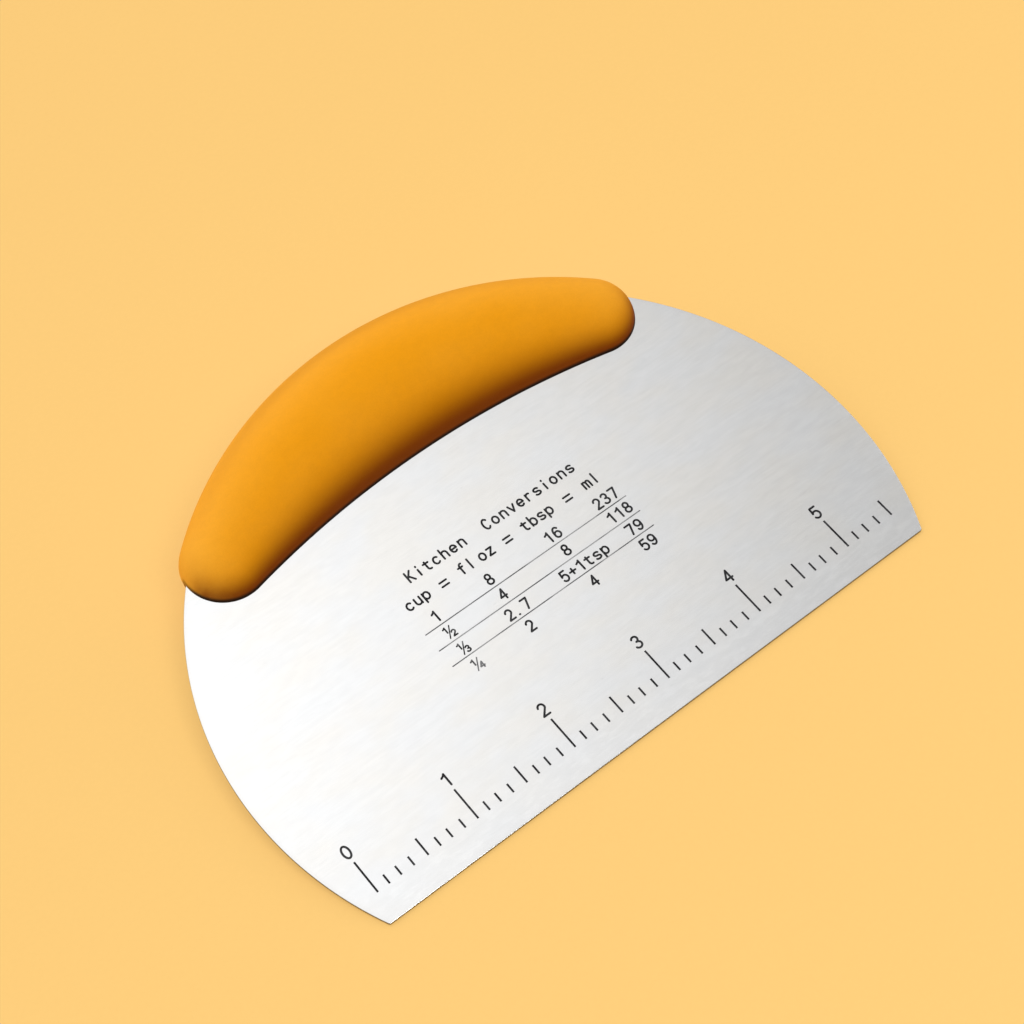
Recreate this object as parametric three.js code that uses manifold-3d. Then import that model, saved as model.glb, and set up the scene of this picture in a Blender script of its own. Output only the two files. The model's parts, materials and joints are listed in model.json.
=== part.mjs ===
// Bench scraper: a stamped steel blade held in a two-part plastic core under a soft moulded grip.
//
// All lengths are in millimetres. Every piece is modelled in the blade's own frame:
// X runs along the scraping edge, Y rises from the edge towards the grip, and Z = 0 is the
// middle of the sheet. The assembled scraper is then laid on its back on the bench, Z up.

import * as THREE from "three";
import { mergeVertices } from "three/addons/utils/BufferGeometryUtils.js";
import Module from "manifold-3d";

// ---- driving dimensions ----

const SHEET_THICKNESS = 0.8;
const DISC_RADIUS = 80.3; // the blade is a disc with one straight edge
const DISC_HEIGHT = 35.1; // from the straight edge up to the disc's centre
const TANG_RADIUS = 91; // flatter arc that trims the disc's top, inside the grip
const TANG_TOP = 111.5;

const GRIP_INNER_EDGE = 82.8; // lower side of the grip at mid-length, above the scraping edge
const GRIP_INNER_RADIUS = 216;
const GRIP_OUTER_EDGE = 116.6; // upper side of the grip at mid-length
const GRIP_OUTER_RADIUS = 86;
const GRIP_END_RADIUS = 10; // rounded ends of the grip, seen from the front
const GRIP_THICKNESS_RATIO = 0.87; // thickness over width, everywhere along the grip

const SKIN = 2.6; // soft layer over the core
const CORE_WALL = 2.2;
const CORE_RIM_HALF_LENGTH = 48; // the halves meet above the tang between these two ends
const CLEARANCE = 0.3; // between neighbouring pieces

const FASTENER_PITCH = THREE.MathUtils.degToRad(7); // along the grip's curved middle line
const RIVET_STEPS = [-3, -1, 1, 3];
const PEG_STEPS = [-2, 0, 2];
const RIB_STEPS = [-3.5, -2.5, -1.5, -0.5, 0.5, 1.5, 2.5, 3.5];
const RIB_THICKNESS = 1.6;
const BOSS_RADIUS = 5.2;

const SHANK_RADIUS = 1.5;
const HEAD_RADIUS = 2.8;
const HEAD_THICKNESS = 1.4;
const HEAD_CHAMFER = 0.4;
const RIVET_SEAT = 6; // depth of the seats in the core, from the middle of the sheet
const PEG_RADIUS = 2;
const PEG_LENGTH = 4;

// Facets: around the grip's section, along the grip, and around small round features.
const OUTER_FACETS = { around: 28, along: 44 };
const INNER_FACETS = { around: 18, along: 30 };
const ROUND_SIDES = 16;
const ARC_DIVISIONS = 11;
const DOME_DIVISIONS = 3;
const CUT_REACH = 200; // longer than the whole object, for cutting blocks

// ---- solids: three.js geometry in and out of manifold ----

const wasm = await Module();
wasm.setup();

function toSolid(geometry) {
  const bare = geometry.clone();
  bare.deleteAttribute("normal");
  bare.deleteAttribute("uv");
  const merged = mergeVertices(bare);
  const vertProperties = new Float32Array(merged.attributes.position.array);
  const triVerts = new Uint32Array(merged.index.array);
  return new wasm.Manifold(new wasm.Mesh({ numProp: 3, vertProperties, triVerts }));
}

function toGeometry(solid) {
  const { vertProperties, triVerts } = solid.getMesh();
  const geometry = new THREE.BufferGeometry();
  geometry.setAttribute("position", new THREE.BufferAttribute(vertProperties, 3));
  geometry.setIndex(new THREE.BufferAttribute(triVerts, 1));
  geometry.computeVertexNormals();
  return geometry;
}

function joined(solids) {
  return solids.reduce((sum, solid) => sum.add(solid));
}

// An upright round bar between two heights.
function bar({ x, y, radius, bottom, top }) {
  const geometry = new THREE.CylinderGeometry(radius, radius, top - bottom, ROUND_SIDES);
  geometry.rotateX(Math.PI / 2);
  geometry.translate(x, y, (top + bottom) / 2);
  return toSolid(geometry);
}

function block({ width, height, depth, x = 0, y = 0, z = 0, turn = 0 }) {
  const geometry = new THREE.BoxGeometry(width, height, depth);
  geometry.rotateZ(turn);
  geometry.translate(x, y, z);
  return toSolid(geometry);
}

// ---- blade outline ----

// The blade's outline, grown outwards by a margin. It is made of the straight edge, the disc's
// two flanks and the tang's arc between them.
function bladeOutline(margin) {
  const disc = DISC_RADIUS + margin;
  const tang = TANG_RADIUS + margin;
  const tangHeight = TANG_TOP - TANG_RADIUS;

  const edgeAngle = -Math.asin((DISC_HEIGHT + margin) / disc);
  const rise = DISC_HEIGHT - tangHeight;
  const meetRise = (tang ** 2 - disc ** 2 - rise ** 2) / (2 * rise);
  const meetX = Math.sqrt(disc ** 2 - meetRise ** 2);
  const discMeet = Math.atan2(meetRise, meetX);
  const tangMeet = Math.atan2(meetRise + rise, meetX);

  const outline = new THREE.Shape();
  outline.absarc(0, DISC_HEIGHT, disc, edgeAngle, discMeet);
  outline.absarc(0, tangHeight, tang, tangMeet, Math.PI - tangMeet);
  outline.absarc(0, DISC_HEIGHT, disc, Math.PI - discMeet, Math.PI - edgeAngle);
  return outline;
}

function bladePlate(outline, thickness) {
  const settings = { depth: thickness, bevelEnabled: false, curveSegments: ARC_DIVISIONS };
  return new THREE.ExtrudeGeometry(outline, settings).translate(0, 0, -thickness / 2);
}

function roundHole({ x, y, radius }) {
  const hole = new THREE.Path();
  hole.absarc(x, y, radius, 0, 2 * Math.PI, true);
  return hole;
}

// ---- grip form ----

// Plan of the grip: an inner arc, an outer arc and a circle at each end that touches both.
const innerArc = { y: GRIP_INNER_EDGE - GRIP_INNER_RADIUS, radius: GRIP_INNER_RADIUS };
const outerArc = { y: GRIP_OUTER_EDGE - GRIP_OUTER_RADIUS, radius: GRIP_OUTER_RADIUS };
const end = endCentre();
const middle = middleLine();

function endCentre() {
  const toInner = GRIP_INNER_RADIUS + GRIP_END_RADIUS;
  const toOuter = GRIP_OUTER_RADIUS - GRIP_END_RADIUS;
  const apart = outerArc.y - innerArc.y;
  const rise = (toInner ** 2 - toOuter ** 2 + apart ** 2) / (2 * apart);
  return { x: Math.sqrt(toInner ** 2 - rise ** 2), y: innerArc.y + rise };
}

// The curved middle line: an arc through the middle of the grip and both end centres.
function middleLine() {
  const top = (GRIP_INNER_EDGE + GRIP_OUTER_EDGE) / 2;
  const drop = top - end.y;
  const radius = (end.x ** 2 + drop ** 2) / (2 * drop);
  return { y: top - radius, radius, endAngle: Math.asin(end.x / radius) };
}

function pointOnMiddleLine(angle) {
  const x = middle.radius * Math.sin(angle);
  const y = middle.y + middle.radius * Math.cos(angle);
  return { x, y };
}

// How far a ray from the middle line's centre runs before it enters or leaves a circle.
function rayReach(angle, circle, side) {
  const offsetX = circle.x ?? 0;
  const offsetY = circle.y - middle.y;
  const along = offsetX * Math.sin(angle) + offsetY * Math.cos(angle);
  const squared = along ** 2 - offsetX ** 2 - offsetY ** 2 + circle.radius ** 2;
  return along + side * Math.sqrt(Math.max(squared, 0));
}

// Angle at which an arc hands over to the end circle.
function handOver(arc) {
  const away = Math.hypot(end.x, end.y - arc.y);
  const x = (arc.radius * end.x) / away;
  const y = arc.y + (arc.radius * (end.y - arc.y)) / away;
  return Math.atan2(x, y - middle.y);
}

// Nearest and farthest reach of the grip's plan along a ray, with its skin peeled by an inset.
function planReach(angle, inset) {
  const turn = Math.abs(angle);
  const endCircle = { x: end.x, y: end.y, radius: GRIP_END_RADIUS - inset };
  const inner = { y: innerArc.y, radius: innerArc.radius + inset };
  const outer = { y: outerArc.y, radius: outerArc.radius - inset };
  const inward = turn < handOver(inner) ? rayReach(turn, inner, 1) : rayReach(turn, endCircle, -1);
  const outward = turn < handOver(outer) ? rayReach(turn, outer, 1) : rayReach(turn, endCircle, 1);
  return { inward, outward };
}

// The grip as a closed form: a ball stretched along the middle line, with an oval section.
function gripForm(inset, { around, along }) {
  const tipAngle = middle.endAngle + Math.asin((GRIP_END_RADIUS - inset) / middle.radius);
  const ball = new THREE.SphereGeometry(1, around, along).rotateZ(-Math.PI / 2);
  const points = ball.attributes.position;
  for (let i = 0; i < points.count; i += 1) {
    const angle = tipAngle * THREE.MathUtils.clamp(points.getX(i), -1, 1);
    const size = Math.hypot(points.getY(i), points.getZ(i)) || 1;
    const { inward, outward } = planReach(angle, inset);
    const halfWidth = (outward - inward) / 2;
    const reach = (outward + inward) / 2 + (halfWidth * points.getY(i)) / size;
    const height = (GRIP_THICKNESS_RATIO * halfWidth * points.getZ(i)) / size;
    points.setXYZ(i, reach * Math.sin(angle), middle.y + reach * Math.cos(angle), height);
  }
  return toSolid(ball);
}

// ---- pieces ----

const rivetPlaces = RIVET_STEPS.map((step) => pointOnMiddleLine(step * FASTENER_PITCH));
const pegPlaces = PEG_STEPS.map((step) => pointOnMiddleLine(step * FASTENER_PITCH));
const bladeSlot = toSolid(bladePlate(bladeOutline(CLEARANCE), SHEET_THICKNESS + 2 * CLEARANCE));

function makeBlade() {
  const outline = bladeOutline(0);
  for (const { x, y } of rivetPlaces) {
    outline.holes.push(roundHole({ x, y, radius: SHANK_RADIUS + CLEARANCE }));
  }
  for (const { x, y } of pegPlaces) {
    outline.holes.push(roundHole({ x, y, radius: PEG_RADIUS + CLEARANCE }));
  }
  return toGeometry(toSolid(bladePlate(outline, SHEET_THICKNESS)));
}

// Ribs across the grip and bosses around every fastener, which stiffen a hollow core half.
function stiffeners() {
  const ribs = RIB_STEPS.map((step) => {
    const angle = step * FASTENER_PITCH;
    const place = pointOnMiddleLine(angle);
    const size = { width: RIB_THICKNESS, height: CUT_REACH / 2, depth: CUT_REACH / 2 };
    return block({ ...size, ...place, turn: -angle });
  });
  const bosses = [...rivetPlaces, ...pegPlaces].map((place) =>
    bar({ ...place, radius: BOSS_RADIUS, bottom: -CUT_REACH / 4, top: CUT_REACH / 4 })
  );
  return joined([...ribs, ...bosses]);
}

// Room for the blade between the halves. Past the rim's ends it reaches right across the core.
function coreOpening() {
  const depth = SHEET_THICKNESS + 2 * CLEARANCE;
  const width = CUT_REACH;
  const x = CORE_RIM_HALF_LENGTH + width / 2;
  const rightEnd = block({ width, height: CUT_REACH * 2, depth, x });
  const leftEnd = block({ width, height: CUT_REACH * 2, depth, x: -x });
  return joined([bladeSlot, rightEnd, leftEnd]);
}

function makeCoreHalf(side) {
  const coreInset = SKIN + CLEARANCE;
  const hollow = gripForm(coreInset + CORE_WALL, INNER_FACETS).subtract(stiffeners());
  const halfSpace = block({
    width: CUT_REACH * 2,
    height: CUT_REACH * 2,
    depth: CUT_REACH,
    z: side * (CUT_REACH + CLEARANCE) / 2,
  });
  const shell = gripForm(coreInset, INNER_FACETS).subtract(hollow).intersect(halfSpace);
  const holes = rivetPlaces.flatMap((place) => [
    throughSide(side, { ...place, radius: SHANK_RADIUS + CLEARANCE, from: 0, to: CUT_REACH }),
    throughSide(side, { ...place, radius: HEAD_RADIUS + CLEARANCE, from: RIVET_SEAT, to: CUT_REACH }),
  ]);
  return shell.subtract(coreOpening()).subtract(joined(holes));
}

// A round bar that starts and ends at given depths on one side of the blade.
function throughSide(side, { x, y, radius, from, to }) {
  const bottom = Math.min(side * from, side * to);
  const top = Math.max(side * from, side * to);
  return bar({ x, y, radius, bottom, top });
}

function makeCoreFront() {
  const depth = PEG_LENGTH + CLEARANCE;
  const sockets = pegPlaces.map((place) =>
    throughSide(1, { ...place, radius: PEG_RADIUS + CLEARANCE, from: 0, to: depth })
  );
  return toGeometry(makeCoreHalf(1).subtract(joined(sockets)));
}

function makeCoreBack() {
  const pegs = pegPlaces.map((place) =>
    bar({ ...place, radius: PEG_RADIUS, bottom: -PEG_LENGTH, top: PEG_LENGTH })
  );
  return toGeometry(makeCoreHalf(-1).add(joined(pegs)));
}

// A turned rivet: domed head in front, closed head with a chamfer behind.
function makeRivet() {
  const seat = RIVET_SEAT + CLEARANCE;
  const profile = [
    new THREE.Vector2(0, -seat - HEAD_THICKNESS),
    new THREE.Vector2(HEAD_RADIUS - HEAD_CHAMFER, -seat - HEAD_THICKNESS),
    new THREE.Vector2(HEAD_RADIUS, -seat - HEAD_THICKNESS + HEAD_CHAMFER),
    new THREE.Vector2(HEAD_RADIUS, -seat),
    new THREE.Vector2(SHANK_RADIUS, -seat),
    new THREE.Vector2(SHANK_RADIUS, seat),
  ];
  for (let i = 0; i < DOME_DIVISIONS; i += 1) {
    const angle = (i / DOME_DIVISIONS) * (Math.PI / 2);
    const radius = HEAD_RADIUS * Math.cos(angle);
    profile.push(new THREE.Vector2(radius, seat + HEAD_THICKNESS * Math.sin(angle)));
  }
  profile.push(new THREE.Vector2(0, seat + HEAD_THICKNESS));
  const turned = new THREE.LatheGeometry(profile, ROUND_SIDES).rotateX(Math.PI / 2);
  return toGeometry(toSolid(turned));
}

// The soft grip: hollow around the core, slotted for the blade, with plugs over the rivet heads.
function makeGrip() {
  const plugStart = RIVET_SEAT + HEAD_THICKNESS + 2 * CLEARANCE;
  const plugs = rivetPlaces.flatMap((place) =>
    [1, -1].map((side) =>
      throughSide(side, { ...place, radius: HEAD_RADIUS, from: plugStart, to: CUT_REACH })
    )
  );
  const cavity = gripForm(SKIN, INNER_FACETS).subtract(joined(plugs));
  const outside = gripForm(0, OUTER_FACETS);
  return toGeometry(outside.subtract(cavity).subtract(bladeSlot));
}

// ---- materials ----

const satinSteel = { color: 0xdcdad6, roughness: 0.34, metalness: 1 };
const rivetSteel = { color: 0xb9bbbd, roughness: 0.4, metalness: 1 };
const corePlastic = { color: 0x6c6a66, roughness: 0.6, metalness: 0 };
const softGrip = { color: 0xeb9d1c, roughness: 0.62, metalness: 0 };

function piece(name, geometry, look) {
  const mesh = new THREE.Mesh(geometry, new THREE.MeshStandardMaterial(look));
  mesh.name = name;
  return mesh;
}

// ---- assembly ----

const grip = piece("grip", makeGrip(), softGrip);
const rivetGeometry = makeRivet();
const rivets = rivetPlaces.map(({ x, y }, i) => {
  const rivet = piece(`rivet_${i + 1}`, rivetGeometry, rivetSteel);
  rivet.position.set(x, y, 0);
  return rivet;
});

const scraper = new THREE.Group();
scraper.add(piece("blade", makeBlade(), satinSteel));
scraper.add(piece("core_front", makeCoreFront(), corePlastic));
scraper.add(piece("core_back", makeCoreBack(), corePlastic));
scraper.add(...rivets);
scraper.add(grip);

// Laid on its back, the scraper touches the bench with the blade's back lower edge and with the
// grip's underside. This is the angle between the bench and the blade.
function restingAngle() {
  const points = grip.geometry.attributes.position;
  let angle = 0;
  for (let i = 0; i < points.count; i += 1) {
    const depth = -points.getZ(i) - SHEET_THICKNESS / 2;
    angle = Math.max(angle, Math.atan2(depth, points.getY(i)));
  }
  return angle;
}

const benchScraper = new THREE.Group();
benchScraper.add(scraper);
scraper.rotation.x = restingAngle();

// The origin is on the bench, under the middle of the laid-down scraper.
const extent = new THREE.Box3().setFromObject(benchScraper, true);
const centre = extent.getCenter(new THREE.Vector3());
scraper.position.set(-centre.x, -centre.y, -extent.min.z);

export default benchScraper;
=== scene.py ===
# Looks of a bench scraper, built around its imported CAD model: a stamped steel blade with printed
# ruler and conversion table, under a soft moulded grip.
#
# Pieces are modelled in the blade's own frame, in millimetres. X runs along the scraping edge,
# Y rises from the edge towards the grip, and Z = 0 is the middle of the sheet. BLADE_FRAME then
# carries them to the place where the CAD model lies.

import json
import math

import bmesh
import bpy
from mathutils import Matrix, Vector
from mathutils.geometry import delaunay_2d_cdt, tessellate_polygon

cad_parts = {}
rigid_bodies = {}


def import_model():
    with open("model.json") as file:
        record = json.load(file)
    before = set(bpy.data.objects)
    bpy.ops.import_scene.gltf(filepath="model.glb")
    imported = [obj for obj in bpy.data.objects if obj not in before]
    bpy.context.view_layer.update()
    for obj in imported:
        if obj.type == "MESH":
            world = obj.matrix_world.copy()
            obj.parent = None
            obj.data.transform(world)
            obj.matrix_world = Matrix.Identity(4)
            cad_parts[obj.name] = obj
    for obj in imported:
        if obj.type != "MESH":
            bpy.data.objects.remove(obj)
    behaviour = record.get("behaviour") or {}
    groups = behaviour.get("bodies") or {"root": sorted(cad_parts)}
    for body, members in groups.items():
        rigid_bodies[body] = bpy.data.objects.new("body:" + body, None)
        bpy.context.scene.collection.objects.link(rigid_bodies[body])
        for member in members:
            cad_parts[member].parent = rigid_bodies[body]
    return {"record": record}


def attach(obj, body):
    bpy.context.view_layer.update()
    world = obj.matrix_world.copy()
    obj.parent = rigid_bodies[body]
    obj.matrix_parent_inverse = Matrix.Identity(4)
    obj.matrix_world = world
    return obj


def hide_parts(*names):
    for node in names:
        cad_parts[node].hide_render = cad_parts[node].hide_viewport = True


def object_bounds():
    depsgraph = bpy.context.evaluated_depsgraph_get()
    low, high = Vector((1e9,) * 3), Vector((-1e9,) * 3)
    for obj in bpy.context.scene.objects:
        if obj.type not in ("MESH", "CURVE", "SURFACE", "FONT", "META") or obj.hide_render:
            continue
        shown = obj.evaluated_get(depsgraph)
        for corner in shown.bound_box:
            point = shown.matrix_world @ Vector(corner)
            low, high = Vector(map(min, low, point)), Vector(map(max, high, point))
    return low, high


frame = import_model()
cad_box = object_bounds()

MM = 0.001

# ---- driving sizes, in millimetres ----

# The CAD model's own sizes.
SHEET_THICKNESS = 0.8
DISC_RADIUS = 80.3
DISC_HEIGHT = 35.1
TANG_RADIUS = 91
TANG_TOP = 111.5
GRIP_INNER_EDGE = 82.8
GRIP_INNER_RADIUS = 216
GRIP_OUTER_EDGE = 116.6
GRIP_OUTER_RADIUS = 86
GRIP_END_RADIUS = 10
GRIP_THICKNESS_RATIO = 0.87

# What the grip hides, also as in the CAD model. Fasteners sit at steps along the grip.
FASTENER_PITCH = math.radians(7)
RIVET_STEPS = (-3, -1, 1, 3)
PEG_STEPS = (-2, 0, 2)
RIVET_HOLE_RADIUS = 1.8
PEG_HOLE_RADIUS = 2.3
SKIN = 2.6
PLUG_RADIUS = 2.8
PLUG_START = 8
PLUG_END = 30

# Finer shapes than the CAD model's.
BLADE_CORNER_RADIUS = 0.6
BLADE_EDGE_ROUNDING = 0.12
SLOT_CLEARANCE = 0.02
LIP_RADIUS = 0.45
PARTING_LINE_HEIGHT = 0.07
PARTING_LINE_WIDTH = 0.14
PARTING_LINE_FADE = 0.5

INK_THICKNESS = 0.03
INK_BITE = 0.01

# A painted contact shadow on the grip is full up to the start distance from the sheet and gone at
# the end distance. A distance past the sheet's flank counts the squeeze number of times.
CONTACT_SHADOW_START = 0.9
CONTACT_SHADOW_END = 2.0
CONTACT_SHADOW_SQUEEZE = 1.7
LEFT_SHEEN_START = -50
LEFT_SHEEN_END = -74
# Turning marks on the rivets, in radians of their wave for each millimetre.
RING_FREQUENCY = 42.0

# How finely the curved shapes are divided.
CORNER_STEPS = 12
DISC_STEPS = 160
TANG_STEPS = 60
EDGE_STEPS = 4
HOLE_SIDES = 32
PLUG_SIDES = 24
SKIN_DIVISIONS = {"along": 240, "around": 160, "crowding": 0.8}
HOLLOW_DIVISIONS = {"along": 60, "around": 48}

# ---- colours, linear RGB, and roughness ----

STEEL_WARM = (0.665, 0.655, 0.635)
STEEL_COOL = (0.655, 0.66, 0.665)
STEEL_ROUGHNESS = 0.2
# Sheared flank colours, also used on the edge rounding as a painted dark reflection line.
SHEARED_AND_REFLECTION_DARK = (0.16, 0.13, 0.08)
SHEARED_AND_REFLECTION_LIGHT = (0.42, 0.38, 0.3)
RIVET_DARK = (0.5, 0.5, 0.5)
RIVET_LIGHT = (0.78, 0.78, 0.79)
CORE_DARK = (0.13, 0.127, 0.12)
CORE_LIGHT = (0.17, 0.166, 0.155)
CORE_FIBRE = (0.34, 0.335, 0.32)
# The grip's shaded and lit sides, painted as two colours of one rubber; the lit one carries a faint
# painted sheen.
GRIP_SHADED_SIDE = (0.79, 0.297, 0.0)
GRIP_LIT_SIDE = (0.85, 0.375, 0.03)
# Painted shade for the grip's side over the blade.
GRIP_PAINTED_SHADE = (0.25, 0.052, 0.0002)
# Painted sheen for the grip's left end.
GRIP_LEFT_SHEEN = (0.74, 0.37, 0.035)
# Painted contact shadow along the grip's lip.
GRIP_CONTACT_SHADOW = (0.012, 0.006, 0.002)
INK_BLACK = (0.008, 0.008, 0.009)
INK_WORN = (0.09, 0.09, 0.095)
INK_FADED = (0.34, 0.34, 0.345)
FLOOR_COLOUR = (0.43, 0.26, 0.084)
FLOOR_GLOW = (0.51, 0.33, 0.111)


# ---- the blade's frame ----


def blade_frame():
    """Matrix from the blade's frame, in millimetres, to the CAD model's frame, in metres."""
    mounts = frame["record"]["mounts"]
    edge = next(mount for mount in mounts if mount["name"] == "scraping_edge")
    along = Vector((1, 0, 0))
    rise = -Vector(edge["axis"])
    normal = along.cross(rise)
    turn = Matrix((along, rise, normal)).transposed().to_4x4()
    return Matrix.Translation(edge["pos_m"]) @ turn @ Matrix.Scale(MM, 4)


BLADE_FRAME = blade_frame()


# ---- outlines ----


def arc(centre_x, centre_y, radius_x, radius_y, start, stop, count):
    """Points of an elliptic arc between two angles in degrees, ends included."""
    points = []
    for i in range(count + 1):
        angle = math.radians(start + (stop - start) * i / count)
        x = centre_x + radius_x * math.cos(angle)
        y = centre_y + radius_y * math.sin(angle)
        points.append((x, y))
    return points


def circle(centre_x, centre_y, radius, sides):
    return arc(centre_x, centre_y, radius, radius, 0, 360, sides)[:-1]


def blade_outline(inset):
    """The blade's counter-clockwise outline, shrunk by an inset, always with as many points."""
    disc = DISC_RADIUS - inset
    tang = TANG_RADIUS - inset
    corner = BLADE_CORNER_RADIUS - inset
    tang_height = TANG_TOP - TANG_RADIUS

    corner_y = BLADE_CORNER_RADIUS
    corner_x = math.sqrt((DISC_RADIUS - corner_y) ** 2 - (DISC_HEIGHT - corner_y) ** 2)
    corner_angle = math.degrees(math.atan2(corner_y - DISC_HEIGHT, corner_x))

    rise = DISC_HEIGHT - tang_height
    meet_rise = (tang**2 - disc**2 - rise**2) / (2 * rise)
    meet_x = math.sqrt(disc**2 - meet_rise**2)
    disc_meet = math.degrees(math.atan2(meet_rise, meet_x))
    tang_meet = math.degrees(math.atan2(meet_rise + rise, meet_x))

    right_corner = arc(corner_x, corner_y, corner, corner, -90, corner_angle, CORNER_STEPS)
    right_flank = arc(0, DISC_HEIGHT, disc, disc, corner_angle, disc_meet, DISC_STEPS)
    top = arc(0, tang_height, tang, tang, tang_meet, 180 - tang_meet, TANG_STEPS)
    left_flank = [(-x, y) for x, y in reversed(right_flank)]
    left_corner = [(-x, y) for x, y in reversed(right_corner)]
    return right_corner[:-1] + right_flank[:-1] + top[:-1] + left_flank[:-1] + left_corner


def distance_to_blade(x, y, z):
    """Distance from a point to the sheet, counted only past its flank and faces."""
    past_flank = max(math.hypot(x, y - DISC_HEIGHT) - DISC_RADIUS, 0)
    past_face = max(abs(z) - SHEET_THICKNESS / 2, 0)
    return math.hypot(past_flank, past_face)


# ---- grip form, by the CAD model's rules ----

inner_arc = {"x": 0, "y": GRIP_INNER_EDGE - GRIP_INNER_RADIUS, "radius": GRIP_INNER_RADIUS}
outer_arc = {"x": 0, "y": GRIP_OUTER_EDGE - GRIP_OUTER_RADIUS, "radius": GRIP_OUTER_RADIUS}


def end_centre():
    to_inner = GRIP_INNER_RADIUS + GRIP_END_RADIUS
    to_outer = GRIP_OUTER_RADIUS - GRIP_END_RADIUS
    apart = outer_arc["y"] - inner_arc["y"]
    rise = (to_inner**2 - to_outer**2 + apart**2) / (2 * apart)
    return math.sqrt(to_inner**2 - rise**2), inner_arc["y"] + rise


END_X, END_Y = end_centre()
MIDDLE_TOP = (GRIP_INNER_EDGE + GRIP_OUTER_EDGE) / 2
MIDDLE_RADIUS = (END_X**2 + (MIDDLE_TOP - END_Y) ** 2) / (2 * (MIDDLE_TOP - END_Y))
MIDDLE_Y = MIDDLE_TOP - MIDDLE_RADIUS
END_ANGLE = math.asin(END_X / MIDDLE_RADIUS)


def point_on_middle_line(angle):
    return MIDDLE_RADIUS * math.sin(angle), MIDDLE_Y + MIDDLE_RADIUS * math.cos(angle)


def ray_reach(angle, ring, side):
    """How far a ray from the middle line's centre runs before it enters or leaves a circle."""
    offset_x = ring["x"]
    offset_y = ring["y"] - MIDDLE_Y
    along = offset_x * math.sin(angle) + offset_y * math.cos(angle)
    squared = along**2 - offset_x**2 - offset_y**2 + ring["radius"] ** 2
    return along + side * math.sqrt(max(squared, 0))


def hand_over(ring):
    """Angle at which an arc of the plan hands over to the end circle."""
    away = math.hypot(END_X, END_Y - ring["y"])
    x = ring["radius"] * END_X / away
    y = ring["y"] + ring["radius"] * (END_Y - ring["y"]) / away
    return math.atan2(x, y - MIDDLE_Y)


def plan_reach(angle, inset):
    """Nearest and farthest reach of the grip's plan along a ray, peeled by an inset."""
    turn = abs(angle)
    end = {"x": END_X, "y": END_Y, "radius": GRIP_END_RADIUS - inset}
    inner = {**inner_arc, "radius": inner_arc["radius"] + inset}
    outer = {**outer_arc, "radius": outer_arc["radius"] - inset}
    inward = ray_reach(turn, inner, 1) if turn < hand_over(inner) else ray_reach(turn, end, -1)
    outward = ray_reach(turn, outer, 1) if turn < hand_over(outer) else ray_reach(turn, end, 1)
    return inward, outward


def section_angles(around, crowding):
    """Angles round the grip's section, crowded at its inner and outer sides."""
    for i in range(around):
        share = i / around
        yield math.pi * 2 * share - crowding / 2 * math.sin(4 * math.pi * share)


def grip_form(inset, along, around, crowding=0.0):
    """The grip as a closed mesh: a rounded bar bent along the middle line, with an oval section."""
    tip_angle = END_ANGLE + math.asin((GRIP_END_RADIUS - inset) / MIDDLE_RADIUS)
    mesh = bmesh.new()
    rings = []
    for i in range(1, along):
        angle = -tip_angle * math.cos(math.pi * i / along)
        inward, outward = plan_reach(angle, inset)
        middle = (outward + inward) / 2
        half_width = (outward - inward) / 2
        ring = []
        for turn in section_angles(around, crowding):
            reach = middle - half_width * math.cos(turn)
            z = GRIP_THICKNESS_RATIO * half_width * math.sin(turn)
            point = (reach * math.sin(angle), MIDDLE_Y + reach * math.cos(angle), z)
            ring.append(mesh.verts.new(point))
        rings.append(ring)
    for ring, next_ring in zip(rings, rings[1:]):
        bridge(mesh, ring, next_ring)
    tip_reach = sum(plan_reach(tip_angle, inset)) / 2
    tip_x = tip_reach * math.sin(tip_angle)
    tip_y = MIDDLE_Y + tip_reach * math.cos(tip_angle)
    close_with_fan(mesh, rings[0], Vector((-tip_x, tip_y, 0)))
    close_with_fan(mesh, rings[-1], Vector((tip_x, tip_y, 0)))
    bmesh.ops.recalc_face_normals(mesh, faces=mesh.faces)
    return mesh


def bridge(mesh, ring, next_ring):
    for i, vertex in enumerate(ring):
        mesh.faces.new((ring[i - 1], vertex, next_ring[i], next_ring[i - 1]))


def close_with_fan(mesh, ring, tip):
    tip_vertex = mesh.verts.new(tip)
    for i, vertex in enumerate(ring):
        mesh.faces.new((ring[i - 1], vertex, tip_vertex))


# ---- making objects ----


def link_mesh(name, mesh):
    """A new object from a bmesh in the blade's frame."""
    data = bpy.data.meshes.new(name)
    mesh.to_mesh(data)
    mesh.free()
    piece = bpy.data.objects.new(name, data)
    bpy.context.scene.collection.objects.link(piece)
    return piece


def finish_piece(piece, material, slot, *nodes):
    piece.data.transform(BLADE_FRAME)
    piece.data.materials.clear()
    piece.data.materials.append(material)
    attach(piece, "root")
    if nodes:
        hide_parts(*nodes)


def cut(piece, cutter, operation="DIFFERENCE"):
    """Cuts one object by another for good, and removes the cutter."""
    modifier = piece.modifiers.new("cut", "BOOLEAN")
    modifier.operation = operation
    modifier.solver = "EXACT"
    modifier.object = cutter
    depsgraph = bpy.context.evaluated_depsgraph_get()
    result = bpy.data.meshes.new_from_object(piece.evaluated_get(depsgraph))
    piece.modifiers.clear()
    piece.data = result
    bpy.data.objects.remove(cutter)


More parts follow.
